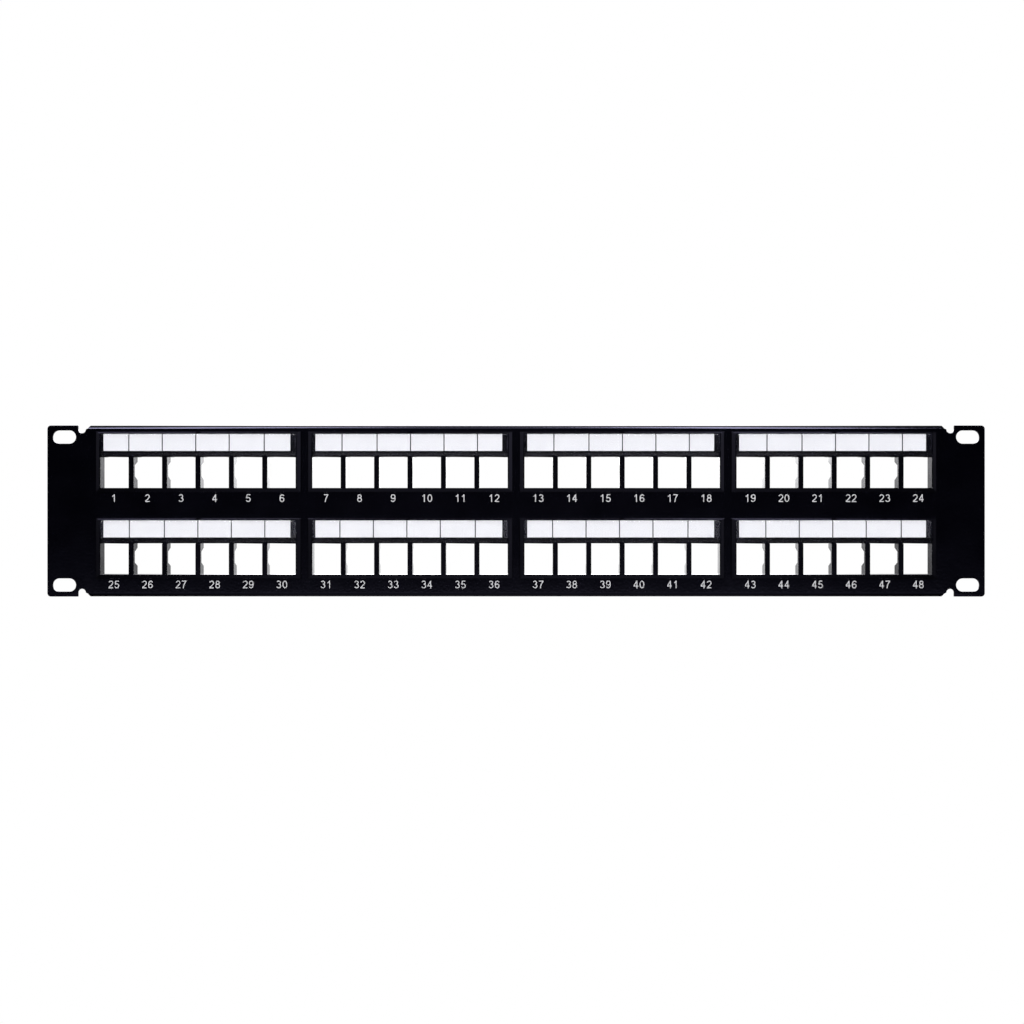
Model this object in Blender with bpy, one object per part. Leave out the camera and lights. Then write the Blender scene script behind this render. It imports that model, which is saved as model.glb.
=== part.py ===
"""A blank 48-port keystone patch panel for a 19-inch rack, two units high.

A folded steel panel carries eight six-port plastic modules, four to a row, which snap into its windows.
Each module has a paper label strip above its ports, under a clear cover that pries off to the front.

The frame: X to the right, Z up, and the front faces -Y. The origin is at the panel's centre, on the
steel's rear face, which is the plane that meets the rack. Lengths are in metres.
"""

import math

import bmesh
import bpy
from mathutils import Matrix, Vector

# The steel panel
SHEET = 0.0015
PANEL_WIDTH = 0.4826
PANEL_HEIGHT = 0.0881
FLANGE_DEPTH = 0.0140
BEND_RADIUS = 0.0020
BEND_STEPS = 6
FLANGE_END = 0.2194
EAR_RADIUS = 0.0018
NOTCH_X = 0.2235
NOTCH_RADIUS = 0.0020
NOTCH_LEDGE = 0.0011
ROUND_STEPS = 8
SLOT_X = 0.23255
SLOT_Z = 0.0381
SLOT_WIDTH = 0.0120
SLOT_HEIGHT = 0.0068

# The modules, four in each row
COLUMNS = 4
COLUMN_PITCH = 0.1089
ROW_CENTRES = (0.0252, -0.01925)
GAP = 0.0003

BEZEL_WIDTH = 0.1055
BEZEL_HEIGHT = 0.0311
BEZEL_PROUD = 0.0023
BEZEL_STEP = 0.0005
BEZEL_SLOPE = 0.0020
BEZEL_TOP_SLOPE = 0.0006

BODY_HALF_WIDTH = 0.05145
BODY_TOP = 0.0146
BODY_BOTTOM = -0.0143
BODY_DEPTH = 0.0096

PORTS = 6
PORT_PITCH = 0.01715
PORT_WIDTH = 0.0145
PORT_TOP = 0.00265
PORT_BOTTOM = -0.01335

SCOOP_DEPTH = 0.0028
SCOOP_TOP_EAR = 0.0024
SCOOP_BOTTOM_EAR = 0.0042
SCOOP_SLOPE = 0.0019

LATCH_WIDTH = 0.0105
LATCH_TOP = 0.0129
LATCH_WALL = 0.0032

HOOK_X = 1.5 * PORT_PITCH
HOOK_WIDTH = 0.0060
HOOK_REACH = 0.0009
HOOK_LENGTH = 0.0030

# The label pocket, its paper strip and its cover
SEAT_HALF_WIDTH = 0.0505
SEAT_TOP = 0.01465
SEAT_BOTTOM = 0.00245
SEAT_FLOOR = 0.0013
RECESS_HALF_WIDTH = 0.0496
RECESS_TOP = 0.01485
RECESS_BOTTOM = 0.0054
RECESS_FLOOR = 0.0017
PRY_NOTCH_WIDTH = 0.0025
PRY_NOTCH_DEPTH = 0.0014

STRIP_WIDTH = 0.0960
STRIP_HEIGHT = 0.00875
STRIP_THICKNESS = 0.0002
STRIP_X = -0.0007
STRIP_Z = 0.010075
STRIP_BACK = 0.00145

COVER_HALF_WIDTH = SEAT_HALF_WIDTH - GAP
COVER_TOP = SEAT_TOP - GAP
COVER_BOTTOM = 0.0033
COVER_BACK = 0.0010
COVER_THICKNESS = 0.0012
COVER_EDGE = 0.0004
COVER_SIDE_SLOPE = 0.00075
COVER_TOP_SLOPE = 0.00025
COVER_BOTTOM_SLOPE = 0.0019

# How far a cutter runs past the face it cuts, and the sharpest turn that is shaded as round
PAST = 0.0010
ROUND_TURN = math.radians(30)

# Depths inside a module count from the bezel's front, which lies at this Y in the module's own frame,
# where Y is 0 on the steel's front face.
FRONT = -BEZEL_PROUD
REAR = FRONT + BODY_DEPTH

WINDOW_HALF_WIDTH = BODY_HALF_WIDTH + GAP
WINDOW_TOP = BODY_TOP + GAP
WINDOW_BOTTOM = BODY_BOTTOM - GAP

HALF_HEIGHT = PANEL_HEIGHT / 2
BEND_Z = HALF_HEIGHT - BEND_RADIUS
FLANGE_BACK = FLANGE_DEPTH - SHEET


def clear_scene():
    for item in list(bpy.data.objects):
        bpy.data.objects.remove(item)


def finish(name, colour, roughness, metallic=0.0, transmission=0.0):
    """A Principled material of one colour."""
    made = bpy.data.materials.new(name)
    made.use_nodes = True
    shader = made.node_tree.nodes["Principled BSDF"]
    shader.inputs["Base Color"].default_value = (*colour, 1.0)
    shader.inputs["Roughness"].default_value = roughness
    shader.inputs["Metallic"].default_value = metallic
    shader.inputs["Transmission Weight"].default_value = transmission
    return made


def object_from(name, bm, material=None):
    """Closes a bmesh into a mesh and an object of that name, with its faces pointing out."""
    bmesh.ops.recalc_face_normals(bm, faces=bm.faces)
    mesh = bpy.data.meshes.new(name)
    bm.to_mesh(mesh)
    bm.free()
    if material:
        mesh.materials.append(material)
    made = bpy.data.objects.new(name, mesh)
    bpy.context.scene.collection.objects.link(made)
    return made


def cutter_from(name, bm):
    made = object_from(name, bm)
    made.hide_render = True
    made.display_type = "WIRE"
    return made


def add_boolean(item, other, operation):
    modifier = item.modifiers.new(other.name, "BOOLEAN")
    modifier.operation = operation
    modifier.solver = "EXACT"
    modifier.object = other


def baked(block, *tools):
    """The mesh of a block after its modifiers. The block and its tools are then removed."""
    evaluated = block.evaluated_get(bpy.context.evaluated_depsgraph_get())
    mesh = bpy.data.meshes.new_from_object(evaluated)
    for item in (block, *tools):
        bpy.data.objects.remove(item)
    mesh.shade_smooth()
    mesh.set_sharp_from_angle(angle=ROUND_TURN)
    return mesh


def add_box(bm, low, high):
    """Adds a closed box between two corners."""
    size = Vector(high) - Vector(low)
    place = Matrix.Translation((Vector(high) + Vector(low)) / 2)
    bmesh.ops.create_cube(bm, size=1.0, matrix=place @ Matrix.Diagonal((*size, 1.0)))


def add_prism(bm, outline, along):
    """Adds a closed prism: a flat outline and the same outline moved by a vector, joined by walls."""
    near = [bm.verts.new(point) for point in outline]
    far = [bm.verts.new(Vector(point) + Vector(along)) for point in outline]
    bm.faces.new(near)
    bm.faces.new(reversed(far))
    for i, vertex in enumerate(near):
        after = (i + 1) % len(near)
        bm.faces.new((vertex, far[i], far[after], near[after]))


def add_stack(bm, sections):
    """Adds a closed solid through upright rectangles, each as y, x_low, x_high, z_low and z_high."""
    rings = [
        [bm.verts.new((x, y, z)) for x, z in ((x0, z0), (x1, z0), (x1, z1), (x0, z1))]
        for y, x0, x1, z0, z1 in sections
    ]
    bm.faces.new(rings[0])
    bm.faces.new(reversed(rings[-1]))
    for ring, after in zip(rings, rings[1:]):
        for i in range(4):
            j = (i + 1) % 4
            bm.faces.new((ring[i], after[i], after[j], ring[j]))


def arc(centre, radius, start, end, steps):
    """Points on an arc in degrees, as (x, z) pairs, with both of its ends."""
    angles = [math.radians(start + (end - start) * i / steps) for i in range(steps + 1)]
    return [(centre[0] + radius * math.cos(a), centre[1] + radius * math.sin(a)) for a in angles]


def column_centres():
    return [COLUMN_PITCH * (i - (COLUMNS - 1) / 2) for i in range(COLUMNS)]


def port_centres():
    return [PORT_PITCH * (i - (PORTS - 1) / 2) for i in range(PORTS)]


# The steel panel


def ear_top():
    """The top of the right ear and its notch, as (x, z) points from the outer corner inwards."""
    corner = (PANEL_WIDTH / 2 - EAR_RADIUS, HALF_HEIGHT - EAR_RADIUS)
    return [
        *arc(corner, EAR_RADIUS, 0, 90, ROUND_STEPS // 2),
        (NOTCH_X + NOTCH_RADIUS, HALF_HEIGHT),
        *arc((NOTCH_X, BEND_Z), NOTCH_RADIUS, 0, -180, ROUND_STEPS),
        (column_centres()[-1] + WINDOW_HALF_WIDTH, BEND_Z),
    ]


def fold_sections():
    """The skin of the upper fold and its flange: (half length, y, z) of each crease, from the bend back.

    From the notch, the fold's end steps in along a ledge, and from there slopes in to the flange's end.
    """
    start = NOTCH_X - NOTCH_RADIUS
    angles = [math.radians(90 * i / BEND_STEPS) for i in range(1, BEND_STEPS + 1)]
    ledge_z = BEND_Z + BEND_RADIUS * math.sin(angles[0])
    sections = [(start, -SHEET, BEND_Z)]
    for angle in angles:
        z = BEND_Z + BEND_RADIUS * math.sin(angle)
        y = -SHEET + BEND_RADIUS * (1 - math.cos(angle))
        share = (z - ledge_z) / (HALF_HEIGHT - ledge_z)
        end = (start - NOTCH_LEDGE) * (1 - share) + FLANGE_END * share
        sections.append((end, y, z))
    sections.append((FLANGE_END, FLANGE_BACK, HALF_HEIGHT))
    return sections


def panel_skin():
    """The front skin of the folded sheet, one face deep, with its windows and notches left open."""
    bm = bmesh.new()
    corners = {}

    def add_face(points):
        """Adds a face through (x, y, z) points, sharing the corners that earlier faces have there."""
        keys = [tuple(round(value, 7) for value in point) for point in points]
        for key in keys:
            corners[key] = corners.get(key) or bm.verts.new(key)
        bm.faces.new([corners[key] for key in keys])

    edges = sorted(
        centre + side * WINDOW_HALF_WIDTH for centre in column_centres() for side in (-1, 1)
    )
    levels = sorted(row + edge for row in ROW_CENTRES for edge in (WINDOW_BOTTOM, WINDOW_TOP))
    levels = [-BEND_Z, *levels, BEND_Z]

    for column, (x0, x1) in enumerate(zip(edges, edges[1:])):
        for row, (z0, z1) in enumerate(zip(levels, levels[1:])):
            if column % 2 == 1 or row % 2 == 0:
                add_face([(x, -SHEET, z) for x, z in ((x0, z0), (x1, z0), (x1, z1), (x0, z1))])

    top = ear_top()
    bottom = [(x, -z) for x, z in reversed(top)]
    inner = [(edges[-1], z) for z in reversed(levels[1:-1])]
    for side in (-1, 1):
        add_face([(side * x, -SHEET, z) for x, z in [*top, *inner, *bottom]])

    creases = fold_sections()
    for side in (-1, 1):
        for (e0, y0, z0), (e1, y1, z1) in zip(creases, creases[1:]):
            between = edges if z0 == BEND_Z else []
            near = [(x, y0, side * z0) for x in (-e0, *between, e0)]
            add_face([*near, (e1, y1, side * z1), (-e1, y1, side * z1)])
    return bm


def add_slots(bm):
    """Four obround cutters for the rack screws' slots."""
    half = (SLOT_WIDTH - SLOT_HEIGHT) / 2
    radius = SLOT_HEIGHT / 2
    for x in (-SLOT_X, SLOT_X):
        for z in (-SLOT_Z, SLOT_Z):
            outline = arc((x + half, z), radius, -90, 90, ROUND_STEPS)
            outline += arc((x - half, z), radius, 90, 270, ROUND_STEPS)
            add_prism(bm, [(px, -SHEET - PAST, pz) for px, pz in outline], (0, SHEET + 2 * PAST, 0))


def panel_mesh(material):
    """The folded sheet, given its thickness and its slots."""
    block = object_from("panel_block", panel_skin(), material)
    thick = block.modifiers.new("sheet", "SOLIDIFY")
    thick.thickness = SHEET
    thick.offset = -1
    thick.use_even_offset = True
    thick.use_quality_normals = True
    slots = bmesh.new()
    add_slots(slots)
    cutter = cutter_from("slot_cutter", slots)
    add_boolean(block, cutter, "DIFFERENCE")
    return baked(block, cutter)


# The port module


def module_block():
    """The module before anything is cut from it: its body, and its sloped bezel in front."""
    width = BEZEL_WIDTH / 2
    height = BEZEL_HEIGHT / 2
    step = -GAP - BEZEL_STEP
    body = (-BODY_HALF_WIDTH, BODY_HALF_WIDTH, BODY_BOTTOM, BODY_TOP)
    bezel = (-width, width, -height, height)
    face = (
        -width + BEZEL_SLOPE,
        width - BEZEL_SLOPE,
        -height + BEZEL_SLOPE,
        height - BEZEL_TOP_SLOPE,
    )
    bm = bmesh.new()
    sections = [(REAR, *body), (-GAP, *body), (-GAP, *bezel), (step, *bezel), (FRONT, *face)]
    add_stack(bm, sections)
    return bm


def port_cuts():
    """The six ports, right through, and the notch in the top lip where the cover is pried out."""
    bm = bmesh.new()
    for x in port_centres():
        low = (x - PORT_WIDTH / 2, FRONT - PAST, PORT_BOTTOM)
        add_box(bm, low, (x + PORT_WIDTH / 2, REAR + PAST, PORT_TOP))
    low = (-PRY_NOTCH_WIDTH / 2, FRONT - PAST, SEAT_TOP - GAP)
    high = (PRY_NOTCH_WIDTH / 2, FRONT + PRY_NOTCH_DEPTH, BEZEL_HEIGHT / 2 + PAST)
    add_box(bm, low, high)
    return bm


def seat_and_scoop_cuts():
    """The cover's seat in the front, and the scoop out of the rear edges of the walls between ports."""
    bm = bmesh.new()
    low = (-SEAT_HALF_WIDTH, FRONT - PAST, SEAT_BOTTOM)
    add_box(bm, low, (SEAT_HALF_WIDTH, FRONT + SEAT_FLOOR, SEAT_TOP))
    top = PORT_TOP - SCOOP_TOP_EAR
    bottom = PORT_BOTTOM + SCOOP_BOTTOM_EAR
    x = port_centres()[0]
    outline = [
        (x, REAR + PAST, bottom),
        (x, REAR, bottom),
        (x, FRONT + SCOOP_DEPTH, bottom + SCOOP_SLOPE),
        (x, FRONT + SCOOP_DEPTH, top - SCOOP_SLOPE),
        (x, REAR, top),
        (x, REAR + PAST, top),
    ]
    add_prism(bm, outline, (-2 * x, 0, 0))
    return bm


def recess_cuts():
    """The paper's recess in the seat, and the room behind it for the latch of each jack."""
    bm = bmesh.new()
    low = (-RECESS_HALF_WIDTH, FRONT, RECESS_BOTTOM)
    add_box(bm, low, (RECESS_HALF_WIDTH, FRONT + RECESS_FLOOR, RECESS_TOP))
    for x in port_centres():
        low = (x - LATCH_WIDTH / 2, FRONT + LATCH_WALL, PORT_TOP - PAST)
        add_box(bm, low, (x + LATCH_WIDTH / 2, REAR + PAST, LATCH_TOP))
    return bm


def snap_hooks():
    """Two wedges on top and two below, which hold the module from behind the steel."""
    bm = bmesh.new()
    front = SHEET + GAP
    for x in (-HOOK_X, HOOK_X):
        for wall, side in ((BODY_TOP, 1), (BODY_BOTTOM, -1)):
            outline = [
                (x - HOOK_WIDTH / 2, front, wall - side * GAP),
                (x - HOOK_WIDTH / 2, front, wall + side * HOOK_REACH),
                (x - HOOK_WIDTH / 2, front + HOOK_LENGTH, wall - side * GAP),
            ]
            add_prism(bm, outline, (HOOK_WIDTH, 0, 0))
    return bm


def module_mesh(material):
    """One finished mesh that all the modules share."""
    block = object_from("module_block", module_block(), material)
    tools = [
        (cutter_from("port_cutter", port_cuts()), "DIFFERENCE"),
        (cutter_from("seat_cutter", seat_and_scoop_cuts()), "DIFFERENCE"),
        (cutter_from("recess_cutter", recess_cuts()), "DIFFERENCE"),
        (cutter_from("hooks", snap_hooks()), "UNION"),
    ]
    for tool, operation in tools:
        add_boolean(block, tool, operation)
    return baked(block, *(tool for tool, _ in tools))


# The label strip and its cover


def strip_mesh(material):
    bm = bmesh.new()
    size = (STRIP_WIDTH, STRIP_THICKNESS, STRIP_HEIGHT)
    bmesh.ops.create_cube(bm, size=1.0, matrix=Matrix.Diagonal((*size, 1.0)))
    made = object_from("strip", bm, material)
    mesh = made.data
    bpy.data.objects.remove(made)
    return mesh


def cover_mesh(material):
    """A clear plate whose front edges slope back, most along the bottom.

    Its origin is the middle of its rear face.
    """
    width = COVER_HALF_WIDTH
    height = (COVER_TOP - COVER_BOTTOM) / 2
    plate = (-width, width, -height, height)
    face = (
        -width + COVER_SIDE_SLOPE,
        width - COVER_SIDE_SLOPE,
        -height + COVER_BOTTOM_SLOPE,
        height - COVER_TOP_SLOPE,
    )
    bm = bmesh.new()
    add_stack(bm, [(0, *plate), (-COVER_EDGE, *plate), (-COVER_THICKNESS, *face)])
    made = object_from("cover", bm, material)
    mesh = made.data
    bpy.data.objects.remove(made)
    return mesh


def place(name, mesh, location):
    made = bpy.data.objects.new(name, mesh)
    made.location = location
    bpy.context.scene.collection.objects.link(made)


def main():
    clear_scene()
    place("panel", panel_mesh(finish("black_powder_coat", (0.012, 0.012, 0.014), 0.5)), (0, 0, 0))
    module = module_mesh(finish("black_plastic", (0.02, 0.02, 0.022), 0.35))
    strip = strip_mesh(finish("white_paper", (0.9, 0.9, 0.92), 0.8))
    cover = cover_mesh(finish("clear_plastic", (0.95, 0.96, 0.97), 0.08, transmission=1.0))
    cover_z = (COVER_TOP + COVER_BOTTOM) / 2
    strip_y = STRIP_BACK - STRIP_THICKNESS / 2
    seats = [(x, z) for z in ROW_CENTRES for x in column_centres()]
    for number, (x, z) in enumerate(seats, start=1):
        front = -SHEET + FRONT
        place(f"port_module_{number}", module, (x, -SHEET, z))
        place(f"label_strip_{number}", strip, (x + STRIP_X, front + strip_y, z + STRIP_Z))
        place(f"label_cover_{number}", cover, (x, front + COVER_BACK, z + cover_z))


main()
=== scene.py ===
"""The looks of the patch panel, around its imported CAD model: meshes, finishes, print, light and camera.

X is to the right, Z is up and the front faces -Y. Lengths are in metres. Places are counted from the
boxes of the CAD nodes, and each shape's own sizes are named below.
"""

import math

import bmesh
import bpy
from mathutils import Matrix, Vector


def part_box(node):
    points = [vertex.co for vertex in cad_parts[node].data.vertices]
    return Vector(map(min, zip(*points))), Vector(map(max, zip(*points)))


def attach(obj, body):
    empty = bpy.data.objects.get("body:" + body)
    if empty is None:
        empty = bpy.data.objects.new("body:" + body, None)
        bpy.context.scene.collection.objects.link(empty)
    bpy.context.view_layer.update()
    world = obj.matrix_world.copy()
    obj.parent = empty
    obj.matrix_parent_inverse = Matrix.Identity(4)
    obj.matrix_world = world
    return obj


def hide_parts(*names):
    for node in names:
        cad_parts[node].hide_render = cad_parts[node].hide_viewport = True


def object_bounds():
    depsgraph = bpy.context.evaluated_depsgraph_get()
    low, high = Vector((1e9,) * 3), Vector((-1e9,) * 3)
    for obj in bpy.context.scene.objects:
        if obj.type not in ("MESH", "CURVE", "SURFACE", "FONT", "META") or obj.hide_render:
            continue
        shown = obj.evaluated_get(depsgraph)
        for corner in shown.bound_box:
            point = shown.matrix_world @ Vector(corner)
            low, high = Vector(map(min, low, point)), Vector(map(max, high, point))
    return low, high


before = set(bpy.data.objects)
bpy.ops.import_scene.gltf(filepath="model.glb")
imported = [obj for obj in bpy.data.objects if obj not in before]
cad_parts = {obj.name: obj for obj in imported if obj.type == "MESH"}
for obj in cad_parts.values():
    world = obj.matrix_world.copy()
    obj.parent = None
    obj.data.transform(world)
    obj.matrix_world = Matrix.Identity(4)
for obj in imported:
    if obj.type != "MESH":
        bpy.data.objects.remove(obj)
cad_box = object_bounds()

COLUMNS = 4
PORTS = 6
MODULES = range(1, 2 * COLUMNS + 1)

# The steel sheet
SHEET = 0.0015
BEND_RADIUS = 0.0020
BEND_STEPS = 16
FLANGE_END = 0.2194
EAR_RADIUS = 0.0018
NOTCH_X = 0.2235
NOTCH_RADIUS = 0.0020
NOTCH_LEDGE = 0.0011
LEDGE_ANGLE = math.radians(15)
ROUND_STEPS = 24
SLOT_X = 0.23255
SLOT_Z = 0.0381
SLOT_WIDTH = 0.0120
SLOT_HEIGHT = 0.0068
WINDOW_GAP = 0.0003
SHEET_EDGE = 0.00018

# The port module: lengths from its centre, and depths back from the bezel's front
BEZEL_BACK = 0.0020
BEZEL_RIM = 0.0004
BEZEL_ROUND = 0.0007
BEZEL_TURN = math.radians(62)
BEZEL_STEPS = 4
BEZEL_SLOPE = 0.0020
BEZEL_TOP_SLOPE = 0.0007
BODY_HALF_WIDTH = 0.05145
BODY_TOP = 0.0146
BODY_BOTTOM = -0.0143
PORT_PITCH = 0.01715
PORT_WIDTH = 0.0145
PORT_TOP = 0.00265
PORT_BOTTOM = -0.01335
SCOOP_DEPTH = 0.0028
SCOOP_TOP_EAR = 0.0024
SCOOP_BOTTOM_EAR = 0.0042
SCOOP_SLOPE = 0.0019
LATCH_WIDTH = 0.0105
LATCH_TOP = 0.0129
LATCH_WALL = 0.0032
HOOK_X = 1.5 * PORT_PITCH
HOOK_FRONT = 0.0041
HOOK_WIDTH = 0.0060
HOOK_REACH = 0.0009
HOOK_LENGTH = 0.0030
SLIT_WIDTH = 0.0008
SLIT_DEPTH = 0.0046
SEAT_HALF_WIDTH = 0.0505
SEAT_TOP = 0.01465
SEAT_BOTTOM = 0.00245
SEAT_FLOOR = 0.0013
RECESS_HALF_WIDTH = 0.0496
RECESS_TOP = 0.01485
RECESS_BOTTOM = 0.0054
RECESS_FLOOR = 0.0017
PRY_NOTCH_WIDTH = 0.0025
PRY_NOTCH_DEPTH = 0.0014
MOULDED_EDGE = 0.00008
PAST = 0.0010

# The clear cover's slopes, inside the CAD cover's box
COVER_EDGE = 0.0004
COVER_SIDE_SLOPE = 0.00075
COVER_TOP_SLOPE = 0.00025
COVER_BOTTOM_SLOPE = 0.0019
COVER_ROUND = 0.00012

# How far apart two faces point before their edge is rounded, and before it is shaded as sharp
ROUNDED_ANGLE = math.radians(20)
SHARP_ANGLE = math.radians(50)
# How strongly the larger faces hold the shading flat, out of 100
FLATNESS = 100

# The print: each strip's five rules, from its middle, how far each card's rules are off centre, and the
# cards that lie the other way round
RULES = (-0.0348, -0.0176, -0.0004, 0.0168, 0.0348)
RULE_WIDTH = 0.00056
CARD_SHIFTS = (-0.0002, 0.0005, 0.0005, 0.0011, 0.0001, -0.0006, -0.0002, 0.0005)
CARDS_TURNED = (2, 3, 4, 5)
DIGIT_HEIGHT = 0.00395
DIGIT_STEP = 0.0031
DIGIT_WIDTH = 0.66  # of the digit's height
STROKE = 0.00046
SHARPEST_TURN = 0.5  # the least cosine by which a stroke is widened at its corners
INK = 0.00003
LAYER_GAIN = 0.25  # how much thicker each further stroke of a digit is
NUMBER_DROP = 0.0030
NUMBER_PITCH = 0.0173
NUMBER_COLUMN_PITCH = 0.1092

# The camera and the studio
CAMERA_DISTANCE = 0.920
CAMERA_SHIFT = (-0.0021, -0.0005)
FRAME_WIDTH = 0.5271
SENSOR = 36.0
# The world's brightness: (part, brightness) stops along the parts y, z and x of a direction
ROOM = (
    ((-1.0, 0.008), (-0.9, 0.015), (-0.7, 0.3), (-0.4, 1.0)),
    (
        (-1.0, 0.03), (-0.3, 0.08), (-0.05, 0.20), (0.0, 0.4), (0.05, 0.95), (0.3, 1.0), (0.7, 1.0),
        (0.85, 0.05),
    ),
    (
        (-0.97, 0.22), (-0.90, 0.36), (-0.82, 0.60), (-0.60, 0.45), (-0.24, 0.25), (-0.20, 0.9),
        (-0.12, 4.5), (0.12, 4.5), (0.20, 0.9), (0.24, 0.25), (0.60, 0.40), (0.88, 0.63), (0.93, 0.50),
        (0.97, 0.17),
    ),
)
TABLE = (
    ((-0.95, 1.0), (-0.85, 0.0)),
    ((-0.40, 0.0), (-0.20, 0.45), (-0.075, 0.45), (-0.06, 0.0)),
    ((-0.40, 0.1), (-0.20, 1.0), (0.20, 1.0), (0.40, 0.1)),
)
FLOOR_DROP = 0.30
FLOOR_SIZE = 60.0
# Each lamp's name, place, size, watts, and whether it shows as a highlight or else lights what is matt
LAMPS = (
    ("left_strip", (-0.44, -1.02, 1.25), (0.25, 1.2), 9.5, True),
    ("right_strip", (0.31, -1.02, 1.25), (0.25, 1.2), 9.5, True),
    ("soft_front", (0.0, -1.8, 0.3), (1.2, 0.8), 35.5, False),
)


# Mesh tools


def object_from(name, bm, *materials):
    """Closes a bmesh into a linked object, with its faces pointing out."""
    bmesh.ops.recalc_face_normals(bm, faces=bm.faces)
    mesh = bpy.data.meshes.new(name)
    bm.to_mesh(mesh)
    bm.free()
    for material in materials:
        mesh.materials.append(material)
    return linked(name, mesh)


def linked(name, data, location=(0, 0, 0)):
    made = bpy.data.objects.new(name, data)
    made.location = location
    bpy.context.scene.collection.objects.link(made)
    return made


def add_box(bm, low, high):
    size = Vector(high) - Vector(low)
    place = Matrix.Translation((Vector(high) + Vector(low)) / 2)
    bmesh.ops.create_cube(bm, size=1.0, matrix=place @ Matrix.Diagonal((*size, 1.0)))


def add_prism(bm, outline, along):
    """Adds a closed prism: a flat outline and the same outline moved by a vector, joined by walls."""
    near = [bm.verts.new(point) for point in outline]
    far = [bm.verts.new(Vector(point) + Vector(along)) for point in outline]
    bm.faces.new(near)
    bm.faces.new(reversed(far))
    for i, vertex in enumerate(near):
        after = (i + 1) % len(near)
        bm.faces.new((vertex, far[i], far[after], near[after]))


def add_stack(bm, sections):
    """Adds a closed solid through upright rectangles, each given as y, x low, x high, z low, z high."""
    rings = [
        [bm.verts.new((x, y, z)) for x, z in ((x0, z0), (x1, z0), (x1, z1), (x0, z1))]
        for y, x0, x1, z0, z1 in sections
    ]
    bm.faces.new(rings[0])
    bm.faces.new(reversed(rings[-1]))
    for ring, after in zip(rings, rings[1:]):
        for i in range(4):
            j = (i + 1) % 4
            bm.faces.new((ring[i], after[i], after[j], ring[j]))


def arc(centre, radius, start, end, steps):
    """Points on an arc in degrees, as (x, z) pairs, with both of its ends."""
    angles = [math.radians(start + (end - start) * i / steps) for i in range(steps + 1)]
    return [(centre[0] + radius * math.cos(a), centre[1] + radius * math.sin(a)) for a in angles]


def add_boolean(item, other, operation):
    modifier = item.modifiers.new(other.name, "BOOLEAN")
    modifier.operation = operation
    modifier.solver = "EXACT"
    modifier.object = other


def add_round(item, width, segments=2):
    """Rounds the sharp edges, as moulding or tumbling leaves them."""
    modifier = item.modifiers.new("edges", "BEVEL")
    modifier.width = width
    modifier.segments = segments
    modifier.limit_method = "ANGLE"
    modifier.angle_limit = ROUNDED_ANGLE
    modifier.miter_outer = "MITER_ARC"


def baked(item, *tools):
    """The mesh of an item after its modifiers. The item and its tools are then removed."""
    evaluated = item.evaluated_get(bpy.context.evaluated_depsgraph_get())
    mesh = bpy.data.meshes.new_from_object(evaluated)
    for used in (item, *tools):
        bpy.data.objects.remove(used)
    mesh.shade_smooth()
    mesh.set_sharp_from_angle(angle=SHARP_ANGLE)
    return mesh


def weigh_normals(piece):
    """Keeps large faces flat, so that only the rounded edges between them are shaded as round."""
    modifier = piece.modifiers.new("normals", "WEIGHTED_NORMAL")
    modifier.mode = "FACE_AREA"
    modifier.weight = FLATNESS
    modifier.keep_sharp = True


# Finishes


# The colour of a black surface's gloss where it is seen square on
BLUE_BLACK = (0.68, 0.66, 1.0)


class Finish:
    """A node material around one Principled shader, with short ways to add noise."""

    def __init__(self, name, roughness, specular=0.5, tint=(1.0, 1.0, 1.0)):
        self.material = bpy.data.materials.new(name)
        self.material.use_nodes = True
        self.nodes = self.material.node_tree.nodes
        self.links = self.material.node_tree.links
        self.shader = self.nodes["Principled BSDF"]
        self.shader.inputs["Roughness"].default_value = roughness
        self.shader.inputs["Specular IOR Level"].default_value = specular
        self.shader.inputs["Specular Tint"].default_value = (*tint, 1.0)
        self.place = self.nodes.new("ShaderNodeTexCoord").outputs["Object"]

    def noise(self, size, detail=3.0, distortion=0.0):
        """Noise whose grains are about that many metres across."""
        node = self.nodes.new("ShaderNodeTexNoise")
        node.inputs["Scale"].default_value = 1 / size
        node.inputs["Detail"].default_value = detail
        node.inputs["Distortion"].default_value = distortion
        self.links.new(self.place, node.inputs["Vector"])
        return node.outputs["Fac"]

    def spread(self, source, low, high, start=0.3, end=0.7):
        """The source's range from start to end, drawn out to low and high."""
        node = self.nodes.new("ShaderNodeMapRange")
        node.inputs["From Min"].default_value = start
        node.inputs["From Max"].default_value = end
        node.inputs["To Min"].default_value = low
        node.inputs["To Max"].default_value = high
        self.links.new(source, node.inputs["Value"])
        return node.outputs["Result"]

    def colours(self, source, *stops):
        """A colour ramp of (place, colour) stops over a source, led to the base colour."""
        ramp = self.nodes.new("ShaderNodeValToRGB")
        while len(ramp.color_ramp.elements) < len(stops):
            ramp.color_ramp.elements.new(1.0)
        for element, (place, colour) in zip(ramp.color_ramp.elements, stops):
            element.position = place
            element.color = (*colour, 1.0)
        self.links.new(source, ramp.inputs["Fac"])
        self.links.new(ramp.outputs["Color"], self.shader.inputs["Base Color"])

    def roughness(self, source):
        self.links.new(source, self.shader.inputs["Roughness"])

    def bumps(self, *layers):
        """Bump nodes in a chain: each layer is a source, a height in metres and a strength."""
        before = None
        for source, height, strength in layers:
            node = self.nodes.new("ShaderNodeBump")
            node.inputs["Distance"].default_value = height
            node.inputs["Strength"].default_value = strength
            self.links.new(source, node.inputs["Height"])
            if before:
                self.links.new(before, node.inputs["Normal"])
            before = node.outputs["Normal"]
        self.links.new(before, self.shader.inputs["Normal"])


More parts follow.
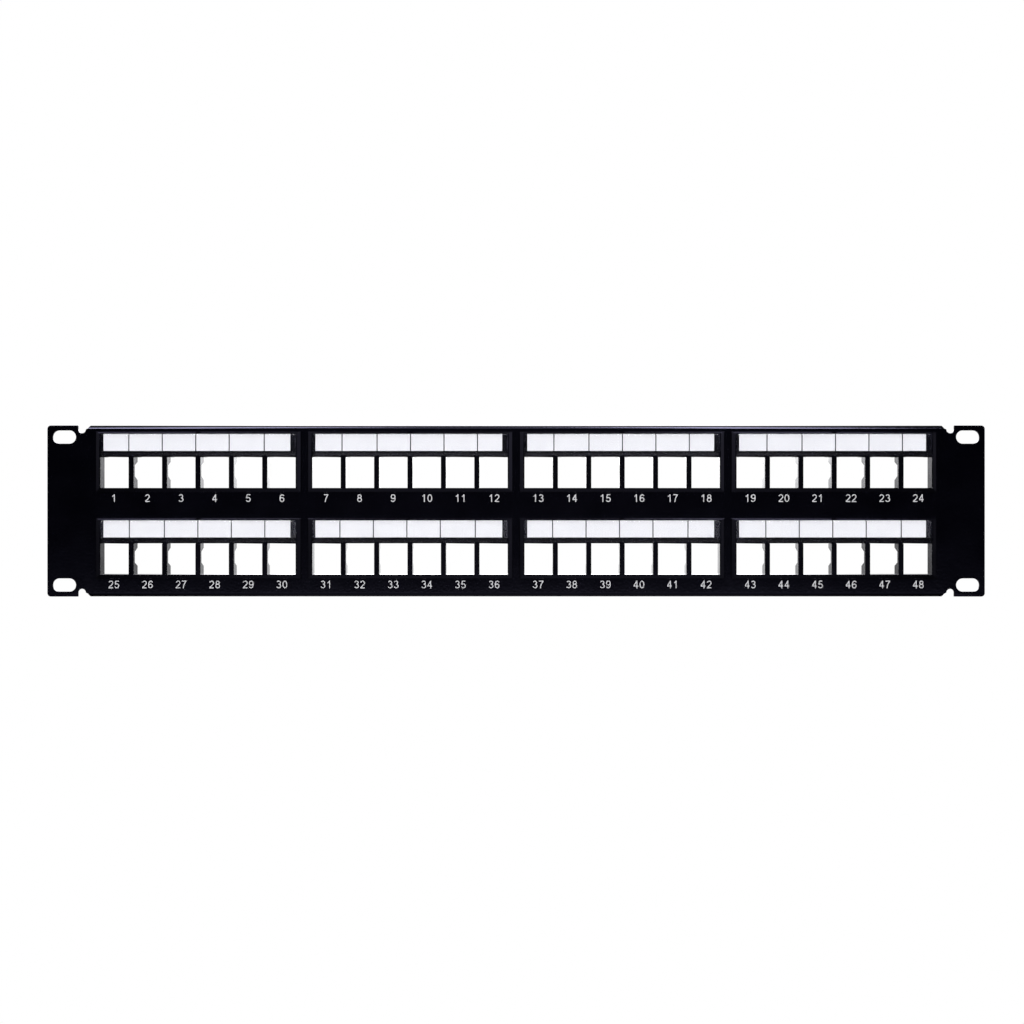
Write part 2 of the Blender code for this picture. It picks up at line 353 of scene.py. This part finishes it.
def powder_coat():
    """Black powder coat: a smooth orange peel, with faint mottling."""
    made = Finish("black_powder_coat", 0.12, specular=0.7, tint=BLUE_BLACK)
    peel = made.noise(0.0012, detail=2.0)
    mottle = made.noise(0.018, detail=4.0)
    made.colours(mottle, (0.35, (0.0003, 0.0003, 0.0011)), (0.65, (0.0006, 0.0006, 0.0016)))
    made.roughness(made.spread(mottle, 0.11, 0.14))
    made.bumps((peel, 0.00003, 0.6))
    return made.material


def moulded_plastic():
    """Black moulded plastic with a satin spark texture and slightly shinier worn patches."""
    made = Finish("black_moulded_plastic", 0.15, specular=0.7, tint=BLUE_BLACK)
    spark = made.noise(0.00025, detail=2.0)
    patches = made.noise(0.006, detail=3.0)
    made.colours(patches, (0.3, (0.0006, 0.0006, 0.0012)), (0.7, (0.0010, 0.0010, 0.0018)))
    made.roughness(made.spread(patches, 0.13, 0.17))
    made.bumps((spark, 0.000005, 0.4))
    return made.material


def paper():
    """White label card: fibres, a faint tooth and almost no gloss."""
    made = Finish("white_label_card", 0.75, specular=0.2)
    fibres = made.noise(0.0007, detail=6.0, distortion=1.5)
    cloud = made.noise(0.012, detail=2.0)
    made.colours(cloud, (0.3, (0.885, 0.875, 0.915)), (0.7, (0.915, 0.905, 0.94)))
    made.roughness(made.spread(fibres, 0.68, 0.85))
    made.bumps((fibres, 0.00002, 0.35))
    return made.material


def line_ink():
    """The thin dark rules between the label's fields."""
    made = Finish("label_line_ink", 0.6, specular=0.2)
    made.colours(made.noise(0.0004), (0.3, (0.02, 0.02, 0.03)), (0.7, (0.04, 0.04, 0.05)))
    return made.material


def screen_ink():
    """White screen-printed ink, a little uneven where the mesh left it thinner."""
    made = Finish("white_screen_ink", 0.5, specular=0.3)
    made.colours(made.noise(0.0005, detail=2.0), (0.3, (0.54, 0.54, 0.56)), (0.7, (0.60, 0.60, 0.62)))
    made.bumps((made.noise(0.0003), 0.00001, 0.4))
    return made.material


def clear_plastic():
    """Clear acrylic. Rays from the lamps pass straight through, so that the card behind it is lit."""
    made = Finish("clear_acrylic", 0.04)
    made.shader.inputs["Base Color"].default_value = (0.97, 0.975, 0.98, 1.0)
    made.shader.inputs["Transmission Weight"].default_value = 1.0
    made.shader.inputs["IOR"].default_value = 1.49
    made.bumps((made.noise(0.004, detail=1.0), 0.00002, 0.1))
    through = made.nodes.new("ShaderNodeBsdfTransparent")
    through.inputs["Color"].default_value = (0.96, 0.965, 0.97, 1.0)
    path = made.nodes.new("ShaderNodeLightPath")
    mix = made.nodes.new("ShaderNodeMixShader")
    made.links.new(path.outputs["Is Shadow Ray"], mix.inputs["Fac"])
    made.links.new(made.shader.outputs["BSDF"], mix.inputs[1])
    made.links.new(through.outputs["BSDF"], mix.inputs[2])
    made.links.new(mix.outputs["Shader"], made.nodes["Material Output"].inputs["Surface"])
    return made.material


# The steel panel


def box_centre(node):
    low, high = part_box(node)
    return (Vector(low) + Vector(high)) / 2


def ear_top(half_width, half_height, bend_z, inner):
    """The right ear's top and notch: (x, z) points from its outer corner in to the last window."""
    corner = (half_width - EAR_RADIUS, half_height - EAR_RADIUS)
    return [
        *arc(corner, EAR_RADIUS, 0, 90, ROUND_STEPS // 4),
        (NOTCH_X + NOTCH_RADIUS, half_height),
        *arc((NOTCH_X, bend_z), NOTCH_RADIUS, 0, -180, ROUND_STEPS),
        (inner, bend_z),
    ]


def fold_sections(half_height, bend_z, back):
    """The upper fold and its flange: each crease's (half length, y, z), from the bend back."""
    start = NOTCH_X - NOTCH_RADIUS
    ledge_z = bend_z + BEND_RADIUS * math.sin(LEDGE_ANGLE)
    sections = [(start, -SHEET, bend_z)]
    for i in range(1, BEND_STEPS + 1):
        angle = math.radians(90 * i / BEND_STEPS)
        z = bend_z + BEND_RADIUS * math.sin(angle)
        y = -SHEET + BEND_RADIUS * (1 - math.cos(angle))
        share = max(0.0, (z - ledge_z) / (half_height - ledge_z))
        ledge = start - NOTCH_LEDGE * min(1.0, (z - bend_z) / (ledge_z - bend_z))
        sections.append((ledge * (1 - share) + FLANGE_END * share, y, z))
    sections.append((FLANGE_END, back, half_height))
    return sections


def panel_skin():
    """The front skin of the folded sheet, one face deep, with its windows and notches left open."""
    low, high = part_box("panel")
    half_width = high[0]
    half_height = high[2]
    bend_z = half_height - BEND_RADIUS
    bm = bmesh.new()
    corners = {}

    def add_face(points):
        """Adds a face through (x, y, z) points, sharing the corners that earlier faces have there."""
        keys = [tuple(round(value, 7) for value in point) for point in points]
        for key in keys:
            corners[key] = corners.get(key) or bm.verts.new(key)
        bm.faces.new([corners[key] for key in keys])

    columns = [module_centre(number)[0] for number in range(1, COLUMNS + 1)]
    rows = [module_centre(number)[2] for number in (1, COLUMNS + 1)]
    half_window = BODY_HALF_WIDTH + WINDOW_GAP
    edges = sorted(centre + side * half_window for centre in columns for side in (-1, 1))
    ends = (BODY_BOTTOM - WINDOW_GAP, BODY_TOP + WINDOW_GAP)
    levels = [-bend_z, *sorted(row + end for row in rows for end in ends), bend_z]

    for column, (x0, x1) in enumerate(zip(edges, edges[1:])):
        for row, (z0, z1) in enumerate(zip(levels, levels[1:])):
            if column % 2 == 1 or row % 2 == 0:
                add_face([(x, -SHEET, z) for x, z in ((x0, z0), (x1, z0), (x1, z1), (x0, z1))])

    top = ear_top(half_width, half_height, bend_z, edges[-1])
    bottom = [(x, -z) for x, z in reversed(top)]
    inner = [(edges[-1], z) for z in reversed(levels[1:-1])]
    for side in (-1, 1):
        add_face([(side * x, -SHEET, z) for x, z in [*top, *inner, *bottom]])

    creases = fold_sections(half_height, bend_z, high[1])
    for side in (-1, 1):
        for (e0, y0, z0), (e1, y1, z1) in zip(creases, creases[1:]):
            between = edges if z0 == bend_z else []
            near = [(x, y0, side * z0) for x in (-e0, *between, e0)]
            add_face([*near, (e1, y1, side * z1), (-e1, y1, side * z1)])
    return bm


def slot_cutters():
    half = (SLOT_WIDTH - SLOT_HEIGHT) / 2
    bm = bmesh.new()
    for x in (-SLOT_X, SLOT_X):
        for z in (-SLOT_Z, SLOT_Z):
            outline = arc((x + half, z), SLOT_HEIGHT / 2, -90, 90, ROUND_STEPS)
            outline += arc((x - half, z), SLOT_HEIGHT / 2, 90, 270, ROUND_STEPS)
            add_prism(bm, [(px, -SHEET - PAST, pz) for px, pz in outline], (0, SHEET + 2 * PAST, 0))
    return object_from("slot_cutters", bm)


def make_panel(coat):
    """The folded sheet, given its thickness, its slots and softened edges."""
    block = object_from("panel_block", panel_skin(), coat)
    thick = block.modifiers.new("sheet", "SOLIDIFY")
    thick.thickness = SHEET
    thick.offset = -1
    thick.use_even_offset = True
    thick.use_quality_normals = True
    slots = slot_cutters()
    add_boolean(block, slots, "DIFFERENCE")
    add_round(block, SHEET_EDGE)
    panel = linked("steel_panel", baked(block, slots))
    weigh_normals(panel)
    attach(panel, "root")
    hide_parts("panel")


# The port modules


def module_centre(number):
    """The middle of a module's bezel, with y on the bezel's front."""
    low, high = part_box(f"port_module_{number}")
    return Vector(((low[0] + high[0]) / 2, low[1], (low[2] + high[2]) / 2))


def module_size():
    low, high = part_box("port_module_1")
    return Vector(high) - Vector(low)


def port_centres():
    return [PORT_PITCH * (i - (PORTS - 1) / 2) for i in range(PORTS)]


def bezel_sections():
    """The bezel from the steel forward: an upright rim, a rounded shoulder and a slope to its front."""
    size = module_size()
    width = size.x / 2
    height = size.z / 2
    shoulder = BEZEL_BACK - BEZEL_RIM
    sections = [(BEZEL_BACK, 0.0, 0.0, 0.0), (shoulder, 0.0, 0.0, 0.0)]
    for i in range(1, BEZEL_STEPS + 1):
        angle = BEZEL_TURN * i / BEZEL_STEPS
        inset = BEZEL_ROUND * (1 - math.cos(angle))
        sections.append((shoulder - BEZEL_ROUND * math.sin(angle), inset, inset, inset))
    sections.append((0.0, BEZEL_SLOPE, BEZEL_SLOPE, BEZEL_TOP_SLOPE))
    return [(y, -width + s, width - s, -height + b, height - t) for y, s, b, t in sections]


def module_block():
    """The module before anything is cut from it: its body behind the steel, and its bezel in front."""
    rear = module_size().y
    body = (-BODY_HALF_WIDTH, BODY_HALF_WIDTH, BODY_BOTTOM, BODY_TOP)
    bezel = bezel_sections()
    bm = bmesh.new()
    add_stack(bm, [(rear, *body), (bezel[0][0], *body), *bezel])
    return bm


def port_cuts():
    """The six ports, the pry notch, and the slits that free the snap hooks."""
    rear = module_size().y + PAST
    top = module_size().z / 2 + PAST
    bm = bmesh.new()
    for x in port_centres():
        add_box(bm, (x - PORT_WIDTH / 2, -PAST, PORT_BOTTOM), (x + PORT_WIDTH / 2, rear, PORT_TOP))
    notch = PRY_NOTCH_WIDTH / 2
    add_box(bm, (-notch, -PAST, SEAT_TOP - WINDOW_GAP), (notch, PRY_NOTCH_DEPTH, top))
    for hook in (-HOOK_X, HOOK_X):
        for side in (-1, 1):
            x = hook + side * (HOOK_WIDTH + SLIT_WIDTH) / 2
            add_box(
                bm,
                (x - SLIT_WIDTH / 2, SLIT_DEPTH, LATCH_TOP - PAST),
                (x + SLIT_WIDTH / 2, rear, BODY_TOP + PAST),
            )
    return bm


def seat_and_scoop_cuts():
    """The cover's seat in the front, and the scoop out of the rear edges of the walls between ports."""
    rear = module_size().y
    bm = bmesh.new()
    add_box(bm, (-SEAT_HALF_WIDTH, -PAST, SEAT_BOTTOM), (SEAT_HALF_WIDTH, SEAT_FLOOR, SEAT_TOP))
    top = PORT_TOP - SCOOP_TOP_EAR
    bottom = PORT_BOTTOM + SCOOP_BOTTOM_EAR
    x = port_centres()[0]
    outline = [
        (x, rear + PAST, bottom),
        (x, rear, bottom),
        (x, SCOOP_DEPTH, bottom + SCOOP_SLOPE),
        (x, SCOOP_DEPTH, top - SCOOP_SLOPE),
        (x, rear, top),
        (x, rear + PAST, top),
    ]
    add_prism(bm, outline, (-2 * x, 0, 0))
    return bm


def recess_cuts():
    """The paper's recess in the seat, and the room behind it for the latch of each jack."""
    rear = module_size().y + PAST
    bm = bmesh.new()
    low = (-RECESS_HALF_WIDTH, SEAT_FLOOR / 2, RECESS_BOTTOM)
    add_box(bm, low, (RECESS_HALF_WIDTH, RECESS_FLOOR, RECESS_TOP))
    for x in port_centres():
        low = (x - LATCH_WIDTH / 2, LATCH_WALL, PORT_TOP - PAST)
        add_box(bm, low, (x + LATCH_WIDTH / 2, rear, LATCH_TOP))
    return bm


def snap_hooks():
    """Two wedges on top and two below, which hold the module from behind the steel."""
    bm = bmesh.new()
    for x in (-HOOK_X, HOOK_X):
        for wall, side in ((BODY_TOP, 1), (BODY_BOTTOM, -1)):
            root = wall - side * WINDOW_GAP
            outline = [
                (x - HOOK_WIDTH / 2, HOOK_FRONT, root),
                (x - HOOK_WIDTH / 2, HOOK_FRONT, wall + side * HOOK_REACH),
                (x - HOOK_WIDTH / 2, HOOK_FRONT + HOOK_LENGTH, root),
            ]
            add_prism(bm, outline, (HOOK_WIDTH, 0, 0))
    return bm


def make_modules(plastic):
    block = object_from("module_block", module_block(), plastic)
    tools = []
    for name, bm, operation in (
        ("port_cuts", port_cuts(), "DIFFERENCE"),
        ("seat_cuts", seat_and_scoop_cuts(), "DIFFERENCE"),
        ("recess_cuts", recess_cuts(), "DIFFERENCE"),
        ("snap_hooks", snap_hooks(), "UNION"),
    ):
        tools.append(object_from(name, bm))
        add_boolean(block, tools[-1], operation)
    add_round(block, MOULDED_EDGE)
    mesh = baked(block, *tools)
    for number in MODULES:
        piece = linked(f"module_moulding_{number}", mesh, module_centre(number))
        weigh_normals(piece)
        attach(piece, "root")
        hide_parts(f"port_module_{number}")


# The labels


def strip_mesh(size, rules):
    """A card strip whose front carries thin printed rules."""
    bm = bmesh.new()
    add_box(bm, -size / 2, size / 2)
    for x in rules:
        for edge in (x - RULE_WIDTH / 2, x + RULE_WIDTH / 2):
            everything = [*bm.verts, *bm.edges, *bm.faces]
            bmesh.ops.bisect_plane(
                bm, geom=everything, dist=1e-7, plane_co=(edge, 0, 0), plane_no=(1, 0, 0)
            )
    bm.normal_update()
    for face in bm.faces:
        middle = face.calc_center_median()
        on_rule = any(abs(middle.x - x) < RULE_WIDTH / 2 for x in rules)
        face.material_index = int(on_rule and face.normal.y < -0.5)
    return bm


def make_strips(card, ink):
    for number, shift in zip(MODULES, CARD_SHIFTS):
        low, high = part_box(f"label_strip_{number}")
        turn = -1 if number in CARDS_TURNED else 1
        bm = strip_mesh(Vector(high) - Vector(low), [shift + turn * x for x in RULES])
        piece = object_from(f"label_card_{number}", bm, card, ink)
        piece.location = box_centre(f"label_strip_{number}")
        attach(piece, f"strip_{number}")
        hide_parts(f"label_strip_{number}")


def make_covers(clear):
    """Clear plates whose front edges slope back, most along the bottom."""
    low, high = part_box("label_cover_1")
    size = Vector(high) - Vector(low)
    width = size.x / 2
    height = size.z / 2
    plate = (-width, width, -height, height)
    face = (
        -width + COVER_SIDE_SLOPE,
        width - COVER_SIDE_SLOPE,
        -height + COVER_BOTTOM_SLOPE,
        height - COVER_TOP_SLOPE,
    )
    bm = bmesh.new()
    back = size.y / 2
    add_stack(bm, [(back, *plate), (back - COVER_EDGE, *plate), (-back, *face)])
    block = object_from("cover_block", bm, clear)
    add_round(block, COVER_ROUND, segments=3)
    mesh = baked(block)
    for number in MODULES:
        piece = linked(f"clear_cover_{number}", mesh, box_centre(f"label_cover_{number}"))
        weigh_normals(piece)
        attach(piece, f"cover_{number}")
        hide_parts(f"label_cover_{number}")


# The printed port numbers


def bowl(centre_x, centre_z, across, up, start, end, steps=14):
    """Points round part of an ellipse, by angle in degrees, in a digit's own units."""
    angles = [math.radians(start + (end - start) * i / steps) for i in range(steps + 1)]
    return [(centre_x + across * math.cos(a), centre_z + up * math.sin(a)) for a in angles]


# Each digit's strokes, on a field one unit high, drawn along the middle of the stroke
STROKES = {
    "0": [bowl(0.33, 0.5, 0.25, 0.44, 90, -270, 24)],
    "1": [[(0.14, 0.72), (0.25, 0.77), (0.34, 0.85), (0.40, 0.99)], [(0.40, 0.99), (0.40, 0.0)]],
    "2": [[*bowl(0.33, 0.69, 0.245, 0.25, 165, -28), (0.30, 0.30), (0.14, 0.17), (0.08, 0.06)],
          [(0.03, 0.06), (0.61, 0.06)]],
    "3": [bowl(0.32, 0.735, 0.215, 0.205, 160, -90), bowl(0.32, 0.295, 0.26, 0.235, 90, -160)],
    "4": [[(0.45, 1.0), (0.45, 0.0)], [(0.43, 0.93), (0.07, 0.34)], [(0.03, 0.30), (0.64, 0.30)]],
    "5": [[(0.58, 0.94), (0.18, 0.94)], [(0.19, 0.97), (0.11, 0.50)],
          bowl(0.32, 0.32, 0.265, 0.26, 140, -160)],
    "6": [bowl(0.34, 0.31, 0.25, 0.25, 90, -270, 20),
          [*bowl(0.37, 0.52, 0.28, 0.42, 38, 180), (0.09, 0.40), (0.11, 0.28)]],
    "7": [[(0.05, 0.94), (0.62, 0.94)], [(0.59, 0.93), (0.42, 0.68), (0.29, 0.38), (0.23, 0.0)]],
    "8": [bowl(0.33, 0.735, 0.205, 0.205, 90, -270, 20), bowl(0.33, 0.295, 0.25, 0.235, 90, -270, 20)],
}
STROKES["9"] = [[(DIGIT_WIDTH - x, 1 - z) for x, z in stroke] for stroke in STROKES["6"]]


def add_stroke(bm, points, height):
    """Adds a closed ribbon of ink along (x, z) points. A stroke that ends where it starts is a ring."""
    ring = (Vector(points[0]) - Vector(points[-1])).length < 1e-6
    points = [Vector(point) for point in (points[:-1] if ring else points)]
    rows = []
    for i, point in enumerate(points):
        before = points[i - 1] if i or ring else point
        after = points[(i + 1) % len(points)] if i + 1 < len(points) or ring else point
        into = (point - before).normalized() if point != before else (after - point).normalized()
        out = (after - point).normalized() if after != point else into
        along = (into + out).normalized()
        side = Vector((-along.y, along.x)) * STROKE / 2 / max(SHARPEST_TURN, along.dot(out))
        corners = (
            (point + side, -height), (point - side, -height), (point - side, 0.0), (point + side, 0.0)
        )
        rows.append([bm.verts.new((p.x, y, p.y)) for p, y in corners])
    pairs = list(zip(rows, rows[1:]))
    if ring:
        pairs.append((rows[-1], rows[0]))
    for row, following in pairs:
        for i in range(4):
            j = (i + 1) % 4
            bm.faces.new((row[i], row[j], following[j], following[i]))
    if not ring:
        bm.faces.new(rows[0])
        bm.faces.new(reversed(rows[-1]))


def add_number(bm, number, centre_x, low_z):
    """Adds a number's digits. A digit's strokes differ in thickness, so that none share a face."""
    digits = str(number)
    start = centre_x - (DIGIT_STEP * (len(digits) - 1) + DIGIT_WIDTH * DIGIT_HEIGHT) / 2
    for place, digit in enumerate(digits):
        for layer, stroke in enumerate(STROKES[digit]):
            x = start + place * DIGIT_STEP
            points = [(x + DIGIT_HEIGHT * px, low_z + DIGIT_HEIGHT * pz) for px, pz in stroke]
            add_stroke(bm, points, INK * (1 + LAYER_GAIN * layer))


def make_numbers(ink):
    """The port numbers, printed on the steel under each module: one piece of print for each module."""
    for module in MODULES:
        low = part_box(f"port_module_{module}")[0]
        bm = bmesh.new()
        for port in range(PORTS):
            x = NUMBER_PITCH * (port - (PORTS - 1) / 2)
            add_number(bm, (module - 1) * PORTS + port + 1, x, 0.0)
        column = (module - 1) % COLUMNS - (COLUMNS - 1) / 2
        below = low[2] - NUMBER_DROP - DIGIT_HEIGHT / 2
        piece = object_from(f"port_numbers_{module}", bm, ink)
        piece.location = (NUMBER_COLUMN_PITCH * column, -SHEET, below)
        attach(piece, "root")


# The studio


def make_camera():
    low, high = cad_box
    data = bpy.data.cameras.new("camera")
    data.sensor_width = SENSOR
    data.lens = SENSOR * CAMERA_DISTANCE / FRAME_WIDTH
    camera = linked("camera", data)
    middle = (Vector(low) + Vector(high)) / 2
    across, up = CAMERA_SHIFT
    camera.location = (middle.x + across, -SHEET - CAMERA_DISTANCE, middle.z + up)
    camera.rotation_euler = (math.radians(90), 0, 0)
    bpy.context.scene.camera = camera


def make_world():
    """White as the camera sees it.

    What the panel mirrors is a room that is bright behind and beside it, and dark in front, overhead
    and underneath, with a pale table before it.
    """
    world = bpy.data.worlds.new("studio")
    bpy.context.scene.world = world
    world.use_nodes = True
    nodes = world.node_tree.nodes
    links = world.node_tree.links
    nodes.clear()
    place = nodes.new("ShaderNodeTexCoord")
    split = nodes.new("ShaderNodeSeparateXYZ")
    links.new(place.outputs["Generated"], split.inputs[0])

    def ramp(axis, *stops):
        """Brightness along one part of the direction, given as (part, brightness) stops."""
        node = nodes.new("ShaderNodeValToRGB")
        while len(node.color_ramp.elements) < len(stops):
            node.color_ramp.elements.new(1.0)
        for element, (part, value) in zip(node.color_ramp.elements, stops):
            element.position = (part + 1) / 2
            element.color = (value, value, value, 1.0)
        half = nodes.new("ShaderNodeMath")
        half.operation = "MULTIPLY_ADD"
        half.inputs[1].default_value = 0.5
        half.inputs[2].default_value = 0.5
        links.new(split.outputs[axis], half.inputs[0])
        links.new(half.outputs[0], node.inputs["Fac"])
        return node.outputs["Color"]

    def blend(kind, first, second):
        node = nodes.new("ShaderNodeMix")
        node.data_type = "RGBA"
        node.blend_type = kind
        node.inputs["Factor"].default_value = 1.0
        links.new(first, node.inputs["A"])
        links.new(second, node.inputs["B"])
        return node.outputs["Result"]

    def part(depth, rise, across):
        upright = blend("MULTIPLY", ramp("Y", *depth), ramp("Z", *rise))
        return blend("MULTIPLY", upright, ramp("X", *across))

    studio = nodes.new("ShaderNodeBackground")
    links.new(blend("ADD", part(*ROOM), part(*TABLE)), studio.inputs["Color"])
    seen = nodes.new("ShaderNodeBackground")
    seen.inputs["Color"].default_value = (1.0, 1.0, 1.0, 1.0)
    path = nodes.new("ShaderNodeLightPath")
    mix = nodes.new("ShaderNodeMixShader")
    output = nodes.new("ShaderNodeOutputWorld")
    links.new(path.outputs["Is Camera Ray"], mix.inputs["Fac"])
    links.new(studio.outputs[0], mix.inputs[1])
    links.new(seen.outputs[0], mix.inputs[2])
    links.new(mix.outputs[0], output.inputs["Surface"])


def make_floor():
    """A plain white floor well under the panel.

    It shows directly and through a clear cover, but it doesn't light what is matt.
    """
    bm = bmesh.new()
    bmesh.ops.create_grid(bm, x_segments=1, y_segments=1, size=FLOOR_SIZE / 2)
    white = bpy.data.materials.new("white_floor")
    white.use_nodes = True
    nodes = white.node_tree.nodes
    links = white.node_tree.links
    glow = nodes.new("ShaderNodeEmission")
    path = nodes.new("ShaderNodeLightPath")
    not_scattered = nodes.new("ShaderNodeMath")
    not_scattered.operation = "LESS_THAN"
    not_scattered.inputs[1].default_value = 0.5
    links.new(path.outputs["Diffuse Depth"], not_scattered.inputs[0])
    links.new(not_scattered.outputs[0], glow.inputs["Strength"])
    links.new(glow.outputs[0], nodes["Material Output"].inputs["Surface"])
    floor = object_from("floor", bm, white)
    floor.location.z = cad_box[0][2] - FLOOR_DROP
    floor.visible_glossy = False
    floor.visible_diffuse = False
    floor.visible_shadow = False


def make_light(name, location, size, power, mirrored):
    """A rectangular lamp aimed at the panel. It either shows as a highlight or lights what is matt."""
    data = bpy.data.lights.new(name, "AREA")
    data.shape = "RECTANGLE"
    data.size, data.size_y = size
    data.energy = power
    light = linked(name, data, location)
    light.rotation_euler = (-Vector(location)).to_track_quat("-Z", "Y").to_euler()
    light.visible_camera = False
    light.visible_transmission = False
    light.visible_glossy = mirrored
    light.visible_diffuse = not mirrored


def make_studio():
    make_camera()
    make_world()
    make_floor()
    for lamp in LAMPS:
        make_light(*lamp)
    view = bpy.context.scene.view_settings
    view.view_transform = "Standard"
    view.look = "None"


make_studio()
make_panel(powder_coat())
make_modules(moulded_plastic())
make_strips(paper(), line_ink())
make_covers(clear_plastic())
make_numbers(screen_ink())
